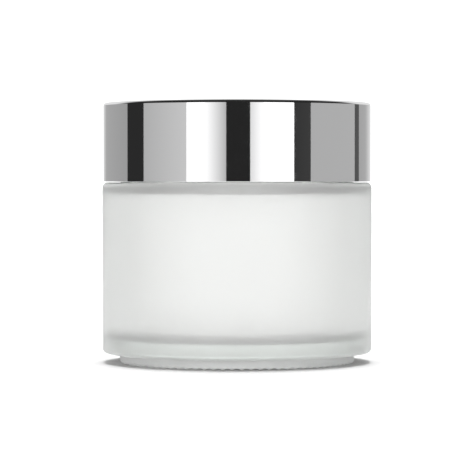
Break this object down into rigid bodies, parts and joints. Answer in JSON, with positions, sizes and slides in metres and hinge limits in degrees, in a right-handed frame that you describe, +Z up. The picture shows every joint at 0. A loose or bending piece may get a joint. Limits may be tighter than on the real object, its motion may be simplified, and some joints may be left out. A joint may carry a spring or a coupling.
{
  "type": "cosmetic cream jar",
  "caption": "Wide frosted thick-wall glass cream jar with a mirror-chrome double-wall screw cap, foam liner and snap-in sealing disc.",
  "frame": {"origin": "centre of the plane that the jar stands on", "axes": "+Z up along the jar's and the cap's common axis; +X and +Y are level, and the shape is round about Z apart from the threads, the grip tab along X and the hidden ribs"},
  "size_m": [0.07, 0.07, 0.0674],
  "materials": {
    "frosted_glass": "acid-frosted outside, polished inside",
    "disc_plastic": "natural low-density polyethylene, slightly translucent",
    "liner_foam": "closed-cell polyethylene foam with smooth skins",
    "inner_cap_plastic": "moulded white polypropylene",
    "cap_chrome": "mirror metallised"
  },
  "bodies": {
    "jar": {"glass_jar": "frosted_glass"},
    "liner": {"cap_liner": "liner_foam"},
    "cap": {"inner_cap": "inner_cap_plastic", "outer_cap": "cap_chrome"},
    "disc": {"sealing_disc": "disc_plastic"}
  },
  "joints": [
    {"name": "cap_lift", "type": "slide", "parent": "jar", "child": "liner", "axis": [0, 0, 1], "range_m": [0, 0.0255]},
    {"name": "cap_turn", "type": "hinge", "parent": "liner", "child": "cap", "pos_m": [0, 0, 0.0474], "axis": [0, 0, 1], "range_deg": [0, 2160]},
    {"name": "disc_lift", "type": "slide", "parent": "jar", "child": "disc", "axis": [0, 0, 1], "range_m": [0, 0.0051]}
  ],
  "couplings": [
    {"joint": "cap_lift", "follows": "cap_turn", "m_per_rad": 0.0006737},
    {"joint": "disc_lift", "follows": "cap_turn", "m_per_rad": 0.00013263}
  ]
}
